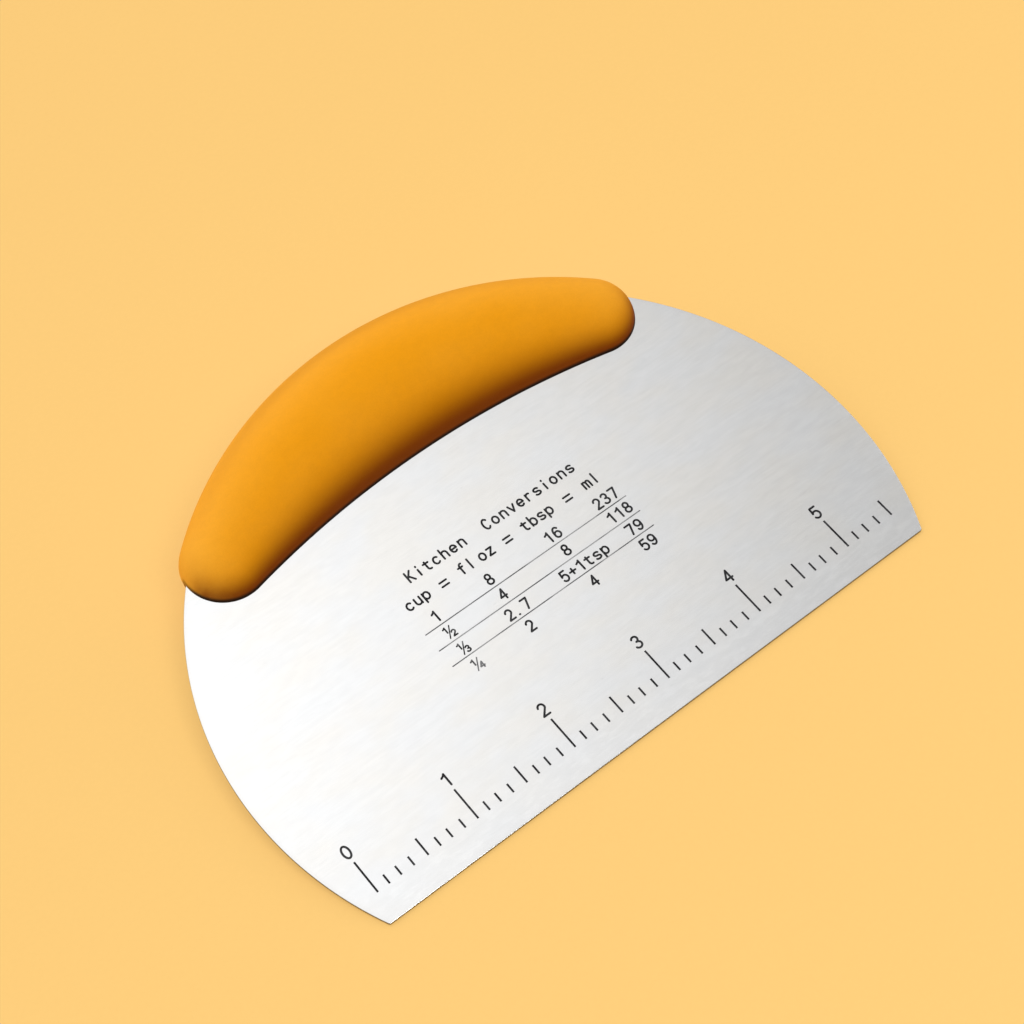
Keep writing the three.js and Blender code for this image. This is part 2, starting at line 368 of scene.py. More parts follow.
def plate(outline, holes, bottom, top, rounding=None):
    """A closed plate. A rounding gives (inset, depth) steps from each face to the flank."""
    mesh = bmesh.new()
    steps = rounding or [(0, 0)]
    levels = [(inset, bottom + depth) for inset, depth in steps]
    levels += [(inset, top - depth) for inset, depth in reversed(steps)]
    rings = []
    for inset, z in levels:
        rings.append([mesh.verts.new((x, y, z)) for x, y in outline(inset)])
    for ring, next_ring in zip(rings, rings[1:]):
        bridge(mesh, ring, next_ring)
    hole_rings = []
    for hole in holes:
        low = [mesh.verts.new((x, y, bottom)) for x, y in hole]
        high = [mesh.verts.new((x, y, top)) for x, y in hole]
        bridge(mesh, high, low)
        hole_rings.append((low, high))
    caps = [
        [rings[0]] + [low for low, high in hole_rings],
        [rings[-1]] + [high for low, high in hole_rings],
    ]
    for loops in caps:
        vertices = [vertex for loop in loops for vertex in loop]
        for triangle in tessellate_polygon([[vertex.co for vertex in loop] for loop in loops]):
            mesh.faces.new([vertices[i] for i in triangle])
    bmesh.ops.recalc_face_normals(mesh, faces=mesh.faces)
    return mesh


# ---- pieces ----


def quarter_round(radius, count):
    """(inset, depth) steps of a rounded edge, from the face to the flank."""
    steps = []
    for i in range(count + 1):
        angle = math.pi / 2 * i / count
        steps.append((radius * (1 - math.sin(angle)), radius * (1 - math.cos(angle))))
    return steps


def fastener_places(steps):
    return [point_on_middle_line(step * FASTENER_PITCH) for step in steps]


def make_blade(material):
    rivets = fastener_places(RIVET_STEPS)
    pegs = fastener_places(PEG_STEPS)
    holes = [circle(x, y, RIVET_HOLE_RADIUS, HOLE_SIDES) for x, y in rivets]
    holes += [circle(x, y, PEG_HOLE_RADIUS, HOLE_SIDES) for x, y in pegs]
    half = SHEET_THICKNESS / 2
    rounding = quarter_round(BLADE_EDGE_ROUNDING, EDGE_STEPS)
    mesh = plate(blade_outline, holes, -half, half, rounding)
    for face in mesh.faces:
        face.smooth = abs(face.normal.z) < 0.999
    piece = link_mesh("blade_sheet", mesh)
    piece.data.set_sharp_from_angle(angle=math.radians(35))
    finish_piece(piece, material, "blade_steel", "blade")


def shape_grip_skin(mesh):
    """Rounds the lip where the blade enters, and raises the mould's parting line elsewhere."""
    mesh.normal_update()
    moves = []
    for vertex in mesh.verts:
        away = distance_to_blade(*vertex.co)
        if away < LIP_RADIUS:
            move = math.sqrt(LIP_RADIUS**2 - (LIP_RADIUS - away) ** 2) - LIP_RADIUS
        else:
            fade = min((away - LIP_RADIUS) / PARTING_LINE_FADE, 1)
            move = fade * PARTING_LINE_HEIGHT * math.exp(-((vertex.co.z / PARTING_LINE_WIDTH) ** 2))
        moves.append(vertex.normal * move)
    for vertex, move in zip(mesh.verts, moves):
        vertex.co += move


def make_grip(material):
    form = grip_form(0, **SKIN_DIVISIONS)
    shape_grip_skin(form)
    skin = link_mesh("grip_skin", form)
    hollow = link_mesh("hollow", grip_form(SKIN, **HOLLOW_DIVISIONS))
    for x, y in fastener_places(RIVET_STEPS):
        for bottom, top in ((PLUG_START, PLUG_END), (-PLUG_END, -PLUG_START)):
            plug = plate(lambda inset: circle(x, y, PLUG_RADIUS, PLUG_SIDES), [], bottom, top)
            cut(hollow, link_mesh("plug", plug))
    cut(skin, hollow)
    half = SHEET_THICKNESS / 2 + SLOT_CLEARANCE
    slot = plate(lambda inset: blade_outline(-SLOT_CLEARANCE), [], -half, half)
    cut(skin, link_mesh("slot", slot))
    skin.data.shade_smooth()
    skin.data.set_sharp_from_angle(angle=math.radians(40))
    finish_piece(skin, material, "soft_grip", "grip")


# ---- printed ink: strokes, glyphs and lines ----

TABLE_STROKE = 0.46
TABLE_GLYPH_WIDTH = 1.48
TABLE_GLYPH_HEIGHT = 2.55
CHARACTER_PITCH = 2.2
SMALL_STROKE = 0.37
SMALL_GLYPH_WIDTH = 0.95
SMALL_GLYPH_HEIGHT = 1.4
RULER_STROKE = 0.48
RULER_GLYPH_WIDTH = 1.7
RULER_GLYPH_HEIGHT = 2.85
X_HEIGHT = 0.68
DESCENDER = -0.26
SHARP_TURN = math.radians(40)


def bow(x, y, radius_x, radius_y, start, stop):
    """An arc of a glyph, with a point about every 15 degrees."""
    return arc(x, y, radius_x, radius_y, start, stop, max(3, round(abs(stop - start) / 15)))


def oval(x, y, radius_x, radius_y):
    """A closed ring of a glyph, as two strokes."""
    return [bow(x, y, radius_x, radius_y, 0, 180), bow(x, y, radius_x, radius_y, 180, 360)]


def turned(strokes):
    """Strokes turned upside down about the middle of the glyph."""
    return [[(-x, 1 - y) for x, y in stroke] for stroke in strokes]


def glyph_strokes():
    """Every glyph as strokes in a cell from -0.5 to 0.5 across and from 0 to 1 up."""
    half = X_HEIGHT / 2
    quarter = X_HEIGHT / 4
    ring = oval(0, half, 0.47, half)
    open_ring = bow(0, half, 0.47, half, 45, 315)
    six = oval(0, 0.3, 0.46, 0.3) + [bow(0.05, 0.5, 0.51, 0.5, 45, 180) + [(-0.46, 0.3)]]
    arch = bow(0, X_HEIGHT - 0.24, 0.43, 0.24, 180, 0) + [(0.43, 0)]
    return {
        "0": oval(0, 0.5, 0.47, 0.5),
        "1": [[(-0.36, 0.78), (0.0, 0.88), (0.16, 1), (0.16, 0)]],
        "2": [bow(0, 0.71, 0.44, 0.29, 165, -25) + [(-0.47, 0), (0.47, 0)]],
        "3": [bow(-0.03, 0.76, 0.4, 0.24, 155, -90), bow(-0.03, 0.26, 0.47, 0.26, 90, -155)],
        "4": [[(0.25, 0), (0.25, 1), (-0.5, 0.28), (0.5, 0.28)]],
        "5": [[(0.42, 1), (-0.32, 1), (-0.4, 0.5)] + bow(-0.02, 0.32, 0.48, 0.32, 140, -150)],
        "6": six,
        "7": [[(-0.48, 1), (0.48, 1), (-0.1, 0)]],
        "8": oval(0, 0.75, 0.38, 0.25) + oval(0, 0.26, 0.47, 0.26),
        "9": turned(six),
        ".": [[(-0.26, 0.02), (-0.2, 0.02)]],
        "+": [[(-0.5, 0.47), (0.5, 0.47)], [(0, 0.2), (0, 0.74)]],
        "=": [[(-0.6, 0.55), (0.6, 0.55)], [(-0.6, 0.11), (0.6, 0.11)]],
        "C": [bow(0, 0.5, 0.48, 0.5, 45, 315)],
        "K": [[(-0.43, 0), (-0.43, 1)], [(0.45, 1), (-0.43, 0.36)], [(-0.14, 0.57), (0.48, 0)]],
        "b": ring + [[(-0.47, 1), (-0.47, 0)]],
        "c": [open_ring],
        "e": [[(-0.46, half), (0.46, half)] + bow(0, half, 0.47, half, 5, 315)],
        "f": [
            bow(0.3, 0.74, 0.35, 0.26, 75, 180) + [(-0.05, 0)],
            [(-0.42, X_HEIGHT), (0.35, X_HEIGHT)],
        ],
        "h": [[(-0.43, 1), (-0.43, 0)], arch],
        "i": [[(0, X_HEIGHT - 0.08), (0, 0)], [(0, 0.92), (0, 0.97)]],
        "l": [[(0, 1), (0, 0)]],
        "m": [
            [(-0.55, X_HEIGHT), (-0.55, 0)],
            bow(-0.275, X_HEIGHT - 0.2, 0.275, 0.2, 180, 0) + [(0, 0)],
            bow(0.275, X_HEIGHT - 0.2, 0.275, 0.2, 180, 0) + [(0.55, 0)],
        ],
        "n": [[(-0.43, X_HEIGHT), (-0.43, 0)], arch],
        "o": ring,
        "p": ring + [[(-0.47, X_HEIGHT), (-0.47, DESCENDER)]],
        "r": [[(-0.32, X_HEIGHT), (-0.32, 0)], bow(0.1, X_HEIGHT - 0.26, 0.42, 0.26, 180, 60)],
        "s": [
            bow(0, 3 * quarter, 0.42, quarter, 30, 270)
            + bow(0, quarter, 0.46, quarter, 90, -150)[1:],
        ],
        "t": [
            [(-0.14, 0.84)] + bow(0.2, 0.2, 0.34, 0.2, 180, 290),
            [(-0.5, X_HEIGHT), (0.36, X_HEIGHT)],
        ],
        "u": [
            [(-0.43, X_HEIGHT)] + bow(0, 0.24, 0.43, 0.24, 180, 360),
            [(0.43, X_HEIGHT), (0.43, 0)],
        ],
        "v": [[(-0.47, X_HEIGHT), (0, 0)], [(0, 0), (0.47, X_HEIGHT)]],
        "z": [[(-0.43, X_HEIGHT), (0.43, X_HEIGHT), (-0.45, 0), (0.45, 0)]],
    }


def split_at_corners(stroke):
    """Cuts a stroke wherever it turns sharply, so that each part bends gently."""
    parts = [[stroke[0]]]
    for i in range(1, len(stroke) - 1):
        parts[-1].append(stroke[i])
        before = Vector(stroke[i]) - Vector(stroke[i - 1])
        after = Vector(stroke[i + 1]) - Vector(stroke[i])
        if before.angle(after) > SHARP_TURN:
            parts.append([stroke[i]])
    parts[-1].append(stroke[-1])
    return parts


def ribbon(points, width, round_ends):
    """Counter-clockwise outline of a pen stroke through some points."""
    half = width / 2
    points = [Vector(point) for point in points]
    directions = [(b - a).normalized() for a, b in zip(points, points[1:])]
    left, right = [], []
    for i, point in enumerate(points):
        before = directions[max(i - 1, 0)]
        after = directions[min(i, len(directions) - 1)]
        along = (before + after).normalized()
        side = Vector((-along.y, along.x)) * half / along.dot(after)
        left.append(point + side)
        right.append(point - side)
    outline = right
    if round_ends:
        outline = outline + round_end(points[-1], directions[-1], half)
    outline = outline + left[::-1]
    if round_ends:
        outline = outline + round_end(points[0], -directions[0], half)
    return outline


def round_end(point, direction, radius):
    heading = math.degrees(math.atan2(direction.y, direction.x))
    return [Vector(p) for p in arc(*point, radius, radius, heading - 90, heading + 90, 6)[1:-1]]


def merged_outlines(outlines):
    """Triangles that cover several overlapping outlines once: points and index triples."""
    points, faces = [], []
    for outline in outlines:
        faces.append(list(range(len(points), len(points) + len(outline))))
        points.extend(outline)
    flat, _, triangles, _, _, sources = delaunay_2d_cdt(points, [], faces, 1, 1e-5, True)
    covered = [triangle for triangle, source in zip(triangles, sources) if source]
    return flat, covered


def add_slab(mesh, points, triangles, bottom, top):
    """A thin closed slab over flat triangles."""
    low = [mesh.verts.new((x, y, bottom)) for x, y in points]
    high = [mesh.verts.new((x, y, top)) for x, y in points]
    directed = {(t[i - 1], t[i]) for t in triangles for i in range(3)}
    for a, b, c in triangles:
        mesh.faces.new((high[a], high[b], high[c]))
        mesh.faces.new((low[c], low[b], low[a]))
    for a, b in directed:
        if (b, a) not in directed:
            mesh.faces.new((low[a], low[b], high[b], high[a]))


class Printing:
    """Ink on the front of the blade, gathered into one closed mesh of thin slabs."""

    def __init__(self):
        self.mesh = bmesh.new()
        self.glyphs = glyph_strokes()
        self.cut_glyphs = {}

    def slab(self, points, triangles, x, y):
        top = SHEET_THICKNESS / 2
        moved = [(x + u, y + v) for u, v in points]
        add_slab(self.mesh, moved, triangles, top - INK_BITE, top + INK_THICKNESS)

    def line(self, points, width):
        flat, triangles = merged_outlines([ribbon(points, width, round_ends=False)])
        self.slab(flat, triangles, PRINT_SHIFT_X, PRINT_SHIFT_Y)

    def glyph(self, name, x, y, width, height, stroke):
        key = (name, width, height, stroke)
        if key not in self.cut_glyphs:
            strokes = [[(u * width, v * height) for u, v in line] for line in self.glyphs[name]]
            parts = [part for line in strokes for part in split_at_corners(line)]
            self.cut_glyphs[key] = merged_outlines([ribbon(part, stroke, True) for part in parts])
        flat, triangles = self.cut_glyphs[key]
        self.slab(flat, triangles, x + PRINT_SHIFT_X, y + PRINT_SHIFT_Y)

    def word(self, text, x, y, pitch=CHARACTER_PITCH):
        """Evenly spaced characters of the table's size, the first one centred on x."""
        for i, letter in enumerate(text):
            if letter != " ":
                place = (x + i * pitch, y)
                self.glyph(letter, *place, TABLE_GLYPH_WIDTH, TABLE_GLYPH_HEIGHT, TABLE_STROKE)

    def finish(self, name, material):
        loose = [vertex for vertex in self.mesh.verts if not vertex.link_faces]
        bmesh.ops.delete(self.mesh, geom=loose, context="VERTS")
        finish_piece(link_mesh(name, self.mesh), material, "printed_ink")


# ---- printed ruler and conversion table ----

INCH = 25.4
# All of the printing sits this far from its nominal place.
PRINT_SHIFT_X = -0.22
PRINT_SHIFT_Y = 0.22
RULER_START = -69.85
RULER_INCHES = 5.5
TICK_BOTTOM = 6.6
INCH_TICK = 8.05
HALF_INCH_TICK = 4.45
EIGHTH_TICK = 2.32
TICK_STROKE = 0.44
RULER_BASELINE = 15.86
# The printed eighths sit a little unevenly within every inch.
EIGHTH_SLIPS = (0, -0.2, -0.4, -0.35, 0, 0, -0.2, -0.08)

HEADING = "Kitchen  Conversions"
HEADING_START = -21.75
HEADING_PITCH = 2.31
HEADING_BASELINE = 58.2
UNITS_BASELINE = 52.75
UNIT_WORDS = (
    ("cup", -26.1), ("=", -16.95), ("fl", -11.9), ("oz", -6.5), ("=", 0.4), ("tbsp", 5.4),
    ("=", 17.1), ("ml", 22.6),
)
TABLE_ROWS = {
    47.12: (("1", -23.25), ("8", -8.8), ("16", 7.6), ("237", 21.3)),
    42.5: (("4", -8.8), ("8", 8.65), ("118", 21.4)),
    37.66: (("2.7", -10.7), ("5+1tsp", 4.3), ("79", 22.75)),
    32.95: (("2", -8.8), ("4", 8.6), ("59", 22.75)),
}
FRACTION_ROWS = {42.5: "2", 37.7: "3", 32.9: "4"}
FRACTION_X = -23.08
NUMERATOR_X = -0.7
NUMERATOR_Y = 1.2
DENOMINATOR_X = 0.6
DENOMINATOR_Y = -0.2
SLASH_ENDS = ((-0.9, -0.3), (0.7, 2.6))
SLASH_STROKE = SMALL_STROKE * 0.8
RULE_LINES = (46.17, 41.42, 36.8)
RULE_START = -27.7
RULE_END = 27.55
RULE_STROKE = 0.25


def tick_length(eighth):
    if eighth % 8 == 0:
        return INCH_TICK
    return HALF_INCH_TICK if eighth % 4 == 0 else EIGHTH_TICK


def print_ruler(material):
    marks = Printing()
    for eighth in range(round(RULER_INCHES * 8) + 1):
        x = RULER_START + eighth * INCH / 8 + EIGHTH_SLIPS[eighth % 8]
        marks.line([(x, TICK_BOTTOM), (x, TICK_BOTTOM + tick_length(eighth))], TICK_STROKE)
    marks.finish("ruler_marks", material)
    numerals = Printing()
    for inch in range(int(RULER_INCHES) + 1):
        x = RULER_START + inch * INCH
        size = (RULER_GLYPH_WIDTH, RULER_GLYPH_HEIGHT, RULER_STROKE)
        numerals.glyph(str(inch), x, RULER_BASELINE, *size)
    numerals.finish("ruler_numerals", material)


def print_table(material, faded, pale):
    heading = Printing()
    heading.word(HEADING, HEADING_START, HEADING_BASELINE, HEADING_PITCH)
    heading.finish("table_heading", material)

    units = Printing()
    for text, x in UNIT_WORDS:
        units.word(text, x, UNITS_BASELINE)
    units.finish("table_units", material)

    values = Printing()
    for baseline, row in TABLE_ROWS.items():
        for text, x in row:
            values.word(text, x, baseline)
    values.finish("table_values", material)

    small = (SMALL_GLYPH_WIDTH, SMALL_GLYPH_HEIGHT, SMALL_STROKE)
    fractions = Printing()
    for baseline, denominator in FRACTION_ROWS.items():
        above = (FRACTION_X + NUMERATOR_X, baseline + NUMERATOR_Y)
        below = (FRACTION_X + DENOMINATOR_X, baseline + DENOMINATOR_Y)
        fractions.glyph("1", *above, *small)
        fractions.glyph(denominator, *below, *small)
        slash = [(FRACTION_X + x, baseline + y) for x, y in SLASH_ENDS]
        fractions.line(slash, SLASH_STROKE)
    fractions.finish("table_fractions", pale)

    rules = Printing()
    for y in RULE_LINES:
        rules.line([(RULE_START, y), (RULE_END, y)], RULE_STROKE)
    rules.finish("table_rules", faded)


# ---- procedural finishes ----


class Finish:
    """A material built from nodes, in the blade's frame and in millimetres."""

    def __init__(self, name):
        self.material = bpy.data.materials.new(name)
        self.material.use_nodes = True
        self.nodes = self.material.node_tree.nodes
        self.links = self.material.node_tree.links
        self.shader = self.nodes["Principled BSDF"]
        here = self.add("ShaderNodeTexCoord").outputs["Object"]
        tilt = BLADE_FRAME.to_euler()
        self.place = self.add("ShaderNodeMapping", {
            "Vector": here,
            "Location": BLADE_FRAME.to_translation(),
            "Rotation": tilt,
            "Scale": (MM, MM, MM),
        }, vector_type="TEXTURE").outputs[0]
        self.x, self.y, self.z = self.add("ShaderNodeSeparateXYZ", {0: self.place}).outputs

    def add(self, kind, inputs=None, **settings):
        node = self.nodes.new(kind)
        for name, value in settings.items():
            setattr(node, name, value)
        for key, value in (inputs or {}).items():
            self.feed(node.inputs[key], value)
        return node

    def feed(self, socket, value):
        if isinstance(value, bpy.types.NodeSocket):
            self.links.new(value, socket)
        elif socket.type == "RGBA" and len(value) == 3:
            socket.default_value = (*value, 1)
        else:
            socket.default_value = value

    def math(self, operation, *values):
        return self.add("ShaderNodeMath", dict(enumerate(values)), operation=operation).outputs[0]

    def noise(self, size, seed, detail=2.0, roughness=0.5):
        """Noise from 0 to 1 whose features have the given size along X, Y and Z."""
        stretched = self.add("ShaderNodeMapping", {
            "Vector": self.place,
            "Location": (seed * 7.3, seed * 3.1, seed * 5.7),
            "Scale": tuple(1 / length for length in size),
        }).outputs[0]
        return self.add("ShaderNodeTexNoise", {
            "Vector": stretched, "Scale": 1.0, "Detail": detail, "Roughness": roughness,
        }).outputs[0]

    def ramp(self, value, start, stop, low=0.0, high=1.0):
        """A smooth rise from low to high as the value goes from start to stop."""
        return self.add("ShaderNodeMapRange", {
            "Value": value, "From Min": start, "From Max": stop, "To Min": low, "To Max": high,
        }, interpolation_type="SMOOTHSTEP").outputs[0]

    def sway(self, value, amount):
        """Noise turned into a factor about 1."""
        return self.ramp(value, 0.25, 0.75, 1 - amount, 1 + amount)

    def blend(self, share, first, second):
        mix = self.add("ShaderNodeMix", data_type="RGBA")
        self.feed(mix.inputs["Factor"], share)
        self.feed(mix.inputs["A"], first)
        self.feed(mix.inputs["B"], second)
        return mix.outputs["Result"]

    def shade(self, colour, factor):
        """A colour times a number."""
        node = self.add("ShaderNodeVectorMath", {0: colour, "Scale": factor}, operation="SCALE")
        return node.outputs[0]

    def bump(self, height, depth, below=None):
        """A normal from a height between 0 and 1 that stands for a depth in millimetres."""
        inputs = {"Height": height, "Strength": 1.0, "Distance": depth * MM}
        node = self.add("ShaderNodeBump", inputs)
        if below is not None:
            self.feed(node.inputs["Normal"], below)
        return node.outputs[0]

    def set(self, **inputs):
        for name, value in inputs.items():
            self.feed(self.shader.inputs[name.replace("_", " ")], value)

    def squareness(self):
        """1 where the surface lies flat with the blade, and 0 where it stands upright on it."""
        turned_normal = self.add("ShaderNodeVectorRotate", {
            "Vector": self.add("ShaderNodeNewGeometry").outputs["Normal"],
            "Rotation": BLADE_FRAME.to_euler(),
        }, rotation_type="EULER_XYZ", invert=True).outputs[0]
        across = self.add("ShaderNodeSeparateXYZ", {0: turned_normal}).outputs["Z"]
        return self.math("ABSOLUTE", across)

    def distance(self, centre_x, centre_y):
        """Distance across the blade from a point on it."""
        along = self.math("SUBTRACT", self.x, centre_x)
        rise = self.math("SUBTRACT", self.y, centre_y)
        return self.hypotenuse(along, rise)

    def hypotenuse(self, first, second):
        squared = self.math("MULTIPLY_ADD", second, second, self.math("MULTIPLY", first, first))
        return self.math("SQRT", squared)

    def past(self, value, start):
        """How far a value is past a start, and 0 before it."""
        return self.math("MAXIMUM", self.math("SUBTRACT", value, start), 0.0)


def satin_steel():
    """Rolled stainless sheet: faint streaks along the edge, dabs by the edge, flanks darkened by
    shearing, and a painted dark reflection line on the edge rounding.
    """
    steel = Finish("satin_steel")
    streaks = steel.noise((8, 0.5, 4), 1, 2)
    dabs = steel.noise((3.6, 1.5, 4), 2, 3, 0.55)
    cloud = steel.noise((15, 9, 20), 3, 2)
    lines = steel.noise((9, 0.09, 4), 4, 1)
    flecks = steel.ramp(steel.noise((1.3, 0.9, 2), 5, 1), 0.74, 0.84)
    by_edge = steel.ramp(steel.y, 12, 2)
    rim = steel.ramp(steel.distance(0, DISC_HEIGHT), DISC_RADIUS - 1.2, DISC_RADIUS)

    tone = steel.blend(steel.ramp(cloud, 0.3, 0.7), STEEL_WARM, STEEL_COOL)
    tone = steel.blend(steel.math("MULTIPLY", by_edge, 0.6), tone, STEEL_COOL)
    tone = steel.shade(tone, steel.sway(streaks, 0.012))
    tone = steel.shade(tone, steel.sway(dabs, 0.018))
    dabs_by_edge = steel.math("MULTIPLY", by_edge, steel.ramp(dabs, 0.45, 0.7))
    tone = steel.shade(tone, steel.math("MULTIPLY_ADD", dabs_by_edge, 0.03, 1.0))
    tone = steel.shade(tone, steel.math("MULTIPLY_ADD", flecks, -0.05, 1.0))
    tone = steel.shade(tone, steel.math("MULTIPLY_ADD", rim, -0.03, 1.0))

    # The flank gets the sheared steel's own darker tone; the mask also reaches onto the edge
    # rounding, where that tone is a painted dark reflection line.
    flank = steel.ramp(steel.squareness(), 0.98, 0.5)
    shear_and_reflection_tone = steel.blend(steel.noise((0.3, 0.3, 2), 6, 2), SHEARED_AND_REFLECTION_DARK, SHEARED_AND_REFLECTION_LIGHT)
    tone = steel.blend(flank, tone, shear_and_reflection_tone)

    rough = steel.math("MULTIPLY_ADD", streaks, 0.05, STEEL_ROUGHNESS - 0.05)
    rough = steel.math("MULTIPLY_ADD", dabs, 0.05, rough)
    rough = steel.math("MULTIPLY_ADD", rim, 0.05, rough)
    rough = steel.math("MULTIPLY_ADD", flank, 0.2, rough)
    normal = steel.bump(lines, 0.001)
    normal = steel.bump(dabs, 0.003, normal)
    shear_marks = steel.math("MULTIPLY", flank, steel.noise((0.25, 0.25, 1.2), 7, 2))
    normal = steel.bump(shear_marks, 0.05, normal)
    steel.set(Base_Color=tone, Metallic=1.0, Roughness=rough, Normal=normal)
    return steel.material


def soft_rubber():
    """Soft moulded grip: a fine moulded grain, slow colour drift, and painted light: paler lit and
    deeper shaded sides, a painted sheen on the left end, painted shade over the blade and a painted
    contact shadow at the lip.
    """
    rubber = Finish("soft_rubber")
    drift = rubber.noise((16, 11, 12), 11, 2)
    mottle = rubber.noise((2.4, 2.0, 2.2), 12, 3, 0.6)
    grain = rubber.noise((0.34, 0.34, 0.34), 13, 2, 0.6)
    pits = rubber.ramp(rubber.noise((0.5, 0.5, 0.5), 14, 0), 0.3, 0.2)

    from_middle = rubber.distance(0, DISC_HEIGHT)
    # Painted light: the grip's outer side is coloured paler, with a faint sheen, and its inner side
    # deeper, as lit and shaded sides; a slow random drift is mixed in.
    outer = rubber.ramp(from_middle, DISC_RADIUS - 16, DISC_RADIUS + 1)
    lit_side_and_drift = rubber.math("MULTIPLY_ADD", outer, 0.7, rubber.math("MULTIPLY", drift, 0.3))
    tone = rubber.blend(lit_side_and_drift, GRIP_SHADED_SIDE, GRIP_LIT_SIDE)
    tone = rubber.shade(tone, rubber.sway(mottle, 0.02))
    tone = rubber.shade(tone, rubber.sway(grain, 0.02))
    # Painted shade: the grip's inner side over the blade, where it stands upright on the sheet, is
    # coloured deep brown.
    over_blade = rubber.ramp(from_middle, DISC_RADIUS + 0.5, DISC_RADIUS - 5)
    steep = rubber.ramp(rubber.squareness(), 0.93, 0.28)
    tone = rubber.blend(rubber.math("MULTIPLY", over_blade, steep), tone, GRIP_PAINTED_SHADE)
    # Painted sheen: the grip's left end turns paler in mottled patches.
    left_sheen_end = rubber.ramp(rubber.x, LEFT_SHEEN_START, LEFT_SHEEN_END)
    left_sheen = rubber.math("MULTIPLY", left_sheen_end, rubber.ramp(mottle, 0.2, 0.7, 0.3, 0.8))
    tone = rubber.blend(left_sheen, tone, GRIP_LEFT_SHEEN)
    height = rubber.math("ABSOLUTE", rubber.z)
    ridge = rubber.ramp(height, PARTING_LINE_WIDTH * 1.6, 0)
    outside = rubber.ramp(from_middle, DISC_RADIUS + 0.9, DISC_RADIUS + 1.6)
    ridge = rubber.math("MULTIPLY", ridge, outside)
    tone = rubber.shade(tone, rubber.math("MULTIPLY_ADD", ridge, 0.08, 1.0))
    # Painted contact shadow: the grip turns near-black along the lip where it meets the blade, more
    # strongly over the blade.
    past_flank = rubber.math("MULTIPLY", rubber.past(from_middle, DISC_RADIUS), CONTACT_SHADOW_SQUEEZE)
    past_face = rubber.past(height, SHEET_THICKNESS / 2)
    contact_shadow = rubber.ramp(rubber.hypotenuse(past_flank, past_face), CONTACT_SHADOW_END, CONTACT_SHADOW_START)
    contact_shadow_strength = rubber.ramp(from_middle, DISC_RADIUS + 1, DISC_RADIUS - 3, 0.45, 0.95)
    tone = rubber.blend(rubber.math("MULTIPLY", contact_shadow, contact_shadow_strength), tone, GRIP_CONTACT_SHADOW)

    rough = rubber.math("MULTIPLY_ADD", mottle, 0.14, 0.52)
    rough = rubber.math("MULTIPLY_ADD", ridge, -0.12, rough)
    normal = rubber.bump(grain, 0.012)
    normal = rubber.bump(pits, -0.01, normal)
    normal = rubber.bump(mottle, 0.02, normal)
    rubber.set(Base_Color=tone, Roughness=rough, Normal=normal, Specular_IOR_Level=0.06)
    return rubber.material


def screen_ink(name, dark, worn, thin_share):
    """Printed ink. Where it went on thin, it's closer to the worn colour."""
    ink = Finish(name)
    speckle = ink.noise((0.22, 0.22, 1), 21, 2, 0.6)
    patches = ink.noise((6.5, 2.2, 3), 22, 1)
    thin = ink.ramp(patches, 0.42, 0.66, 0.0, thin_share)
    thin = ink.math("MULTIPLY_ADD", ink.ramp(speckle, 0.5, 0.8), 0.25, thin)
    tone = ink.blend(thin, dark, worn)
    rough = ink.math("MULTIPLY_ADD", speckle, 0.2, 0.4)
    normal = ink.bump(speckle, 0.006)
    ink.set(Base_Color=tone, Roughness=rough, Normal=normal, Specular_IOR_Level=0.15)
    return ink.material


def filled_plastic():
    """Glass-filled core plastic: pale fibre flecks, flow clouds and a spark-eroded surface."""
    plastic = Finish("filled_plastic")
    fibres = plastic.ramp(plastic.noise((1.6, 0.25, 0.25), 31, 1), 0.58, 0.74)
    flow = plastic.noise((14, 5, 6), 32, 2)
    spark = plastic.noise((0.28, 0.28, 0.28), 33, 2, 0.6)
    tone = plastic.blend(flow, CORE_DARK, CORE_LIGHT)
    tone = plastic.blend(plastic.math("MULTIPLY", fibres, 0.3), tone, CORE_FIBRE)
    tone = plastic.shade(tone, plastic.sway(spark, 0.08))
    rough = plastic.math("MULTIPLY_ADD", spark, 0.2, 0.5)
    normal = plastic.bump(spark, 0.025)
    plastic.set(Base_Color=tone, Roughness=rough, Normal=normal, Specular_IOR_Level=0.4)
    return plastic.material


def turned_steel(name, centre_x, centre_y):
    """Rivet steel with turning marks round the rivet's own axis and a few knocks."""
    steel = Finish(name)
    radius = steel.distance(centre_x, centre_y)
    wave = steel.math("SINE", steel.math("MULTIPLY", radius, RING_FREQUENCY))
    rings = steel.math("MULTIPLY_ADD", wave, 0.5, 0.5)
    knocks = steel.noise((0.5, 0.5, 0.5), 41, 2)
    tone = steel.blend(knocks, RIVET_DARK, RIVET_LIGHT)
    tone = steel.shade(tone, steel.sway(rings, 0.05))
    rough = steel.math("MULTIPLY_ADD", knocks, 0.2, 0.24)
    normal = steel.bump(knocks, 0.02, steel.bump(rings, 0.004))
    steel.set(Base_Color=tone, Metallic=1.0, Roughness=rough, Normal=normal)
    return steel.material


def floor_finish():
    """A plain pale board with a faint tooth. Its own glow keeps shadows on it light."""
    board = Finish("floor_board")
    tooth = board.noise((1.1, 1.1, 1.1), 51, 2)
    cloud = board.noise((160, 140, 120), 52, 1)
    tone = board.shade(FLOOR_COLOUR, board.sway(tooth, 0.012))
    tone = board.shade(tone, board.sway(cloud, 0.01))
    board.set(
        Base_Color=tone, Roughness=0.9, Specular_IOR_Level=0.0, Normal=board.bump(tooth, 0.02),
        Emission_Color=FLOOR_GLOW, Emission_Strength=1.0,
    )
    return board.material


# ---- stage ----

